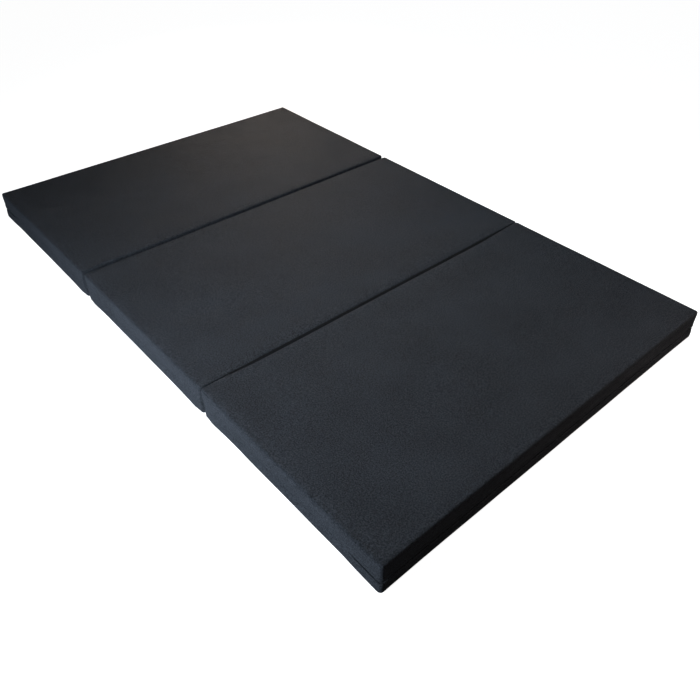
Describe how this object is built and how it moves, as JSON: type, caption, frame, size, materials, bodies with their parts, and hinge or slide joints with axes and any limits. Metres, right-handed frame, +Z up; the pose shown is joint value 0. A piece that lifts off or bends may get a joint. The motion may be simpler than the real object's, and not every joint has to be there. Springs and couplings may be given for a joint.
{
  "type": "tri-fold foam mattress",
  "caption": "Dark charcoal folding foam mattress: thick flat panels in zipped cloth covers, joined by cloth hinges so that it folds into a stack.",
  "frame": {"origin": "on the floor under the centre of the middle panel, with the mattress laid flat", "axes": "+X along the length from the head panel to the foot panel, +Y across the width towards the middle panel's zipped side, +Z up through the thickness"},
  "size_m": [1.9, 1.2, 0.09],
  "materials": {
    "cover_cloth": "matte",
    "hinge_cloth": "matte",
    "foam": "matte",
    "zip_tape": "matte",
    "zip_coil": "satin",
    "zip_metal": "satin"
  },
  "bodies": {
    "middle_panel": {"middle_foam_core": "foam", "middle_cover_base": "cover_cloth", "middle_cover_top": "cover_cloth", "middle_zip_tape_upper": "zip_tape", "middle_zip_coil_upper": "zip_coil", "middle_zip_tape_lower": "zip_tape", "middle_zip_coil_lower": "zip_coil", "middle_zip_first_stop": "zip_metal", "middle_zip_last_stop": "zip_metal", "head_fold_hinge_middle_leaf": "hinge_cloth", "foot_fold_hinge_middle_leaf": "hinge_cloth"},
    "head_panel": {"head_foam_core": "foam", "head_cover_base": "cover_cloth", "head_cover_top": "cover_cloth", "head_zip_tape_upper": "zip_tape", "head_zip_coil_upper": "zip_coil", "head_zip_tape_lower": "zip_tape", "head_zip_coil_lower": "zip_coil", "head_zip_first_stop": "zip_metal", "head_zip_last_stop": "zip_metal", "head_fold_hinge_head_leaf": "hinge_cloth"},
    "foot_panel": {"foot_foam_core": "foam", "foot_cover_base": "cover_cloth", "foot_cover_top": "cover_cloth", "foot_zip_tape_upper": "zip_tape", "foot_zip_coil_upper": "zip_coil", "foot_zip_tape_lower": "zip_tape", "foot_zip_coil_lower": "zip_coil", "foot_zip_first_stop": "zip_metal", "foot_zip_last_stop": "zip_metal", "foot_fold_hinge_foot_leaf": "hinge_cloth"},
    "head_slider": {"head_zip_slider": "zip_metal"},
    "head_pull": {"head_zip_pull_tab": "zip_metal"},
    "middle_slider": {"middle_zip_slider": "zip_metal"},
    "middle_pull": {"middle_zip_pull_tab": "zip_metal"},
    "foot_slider": {"foot_zip_slider": "zip_metal"},
    "foot_pull": {"foot_zip_pull_tab": "zip_metal"}
  },
  "joints": [
    {"name": "head_fold", "type": "hinge", "parent": "middle_panel", "child": "head_panel", "pos_m": [-0.3175, 0, -0.0004], "axis": [0, -1, 0], "range_deg": [0, 180]},
    {"name": "foot_fold", "type": "hinge", "parent": "foot_panel", "child": "middle_panel", "pos_m": [0.3175, 0, 0.0904], "axis": [0, 1, 0], "range_deg": [0, 180]},
    {"name": "head_zip_slide", "type": "slide", "parent": "head_panel", "child": "head_slider", "axis": [0, 1, 0], "range_m": [0, 1.12]},
    {"name": "middle_zip_slide", "type": "slide", "parent": "middle_panel", "child": "middle_slider", "axis": [1, 0, 0], "range_m": [0, 0.48]},
    {"name": "foot_zip_slide", "type": "slide", "parent": "foot_panel", "child": "foot_slider", "axis": [0, -1, 0], "range_m": [0, 1.12]},
    {"name": "head_pull_swing", "type": "hinge", "parent": "head_slider", "child": "head_pull", "pos_m": [-0.9478, -0.56, 0.033], "axis": [0, 0, 1], "range_deg": [0, 180]},
    {"name": "middle_pull_swing", "type": "hinge", "parent": "middle_slider", "child": "middle_pull", "pos_m": [-0.24, 0.5978, 0.033], "axis": [0, 0, 1], "range_deg": [0, 180]},
    {"name": "foot_pull_swing", "type": "hinge", "parent": "foot_slider", "child": "foot_pull", "pos_m": [0.9478, 0.56, 0.033], "axis": [0, 0, 1], "range_deg": [0, 180]}
  ]
}
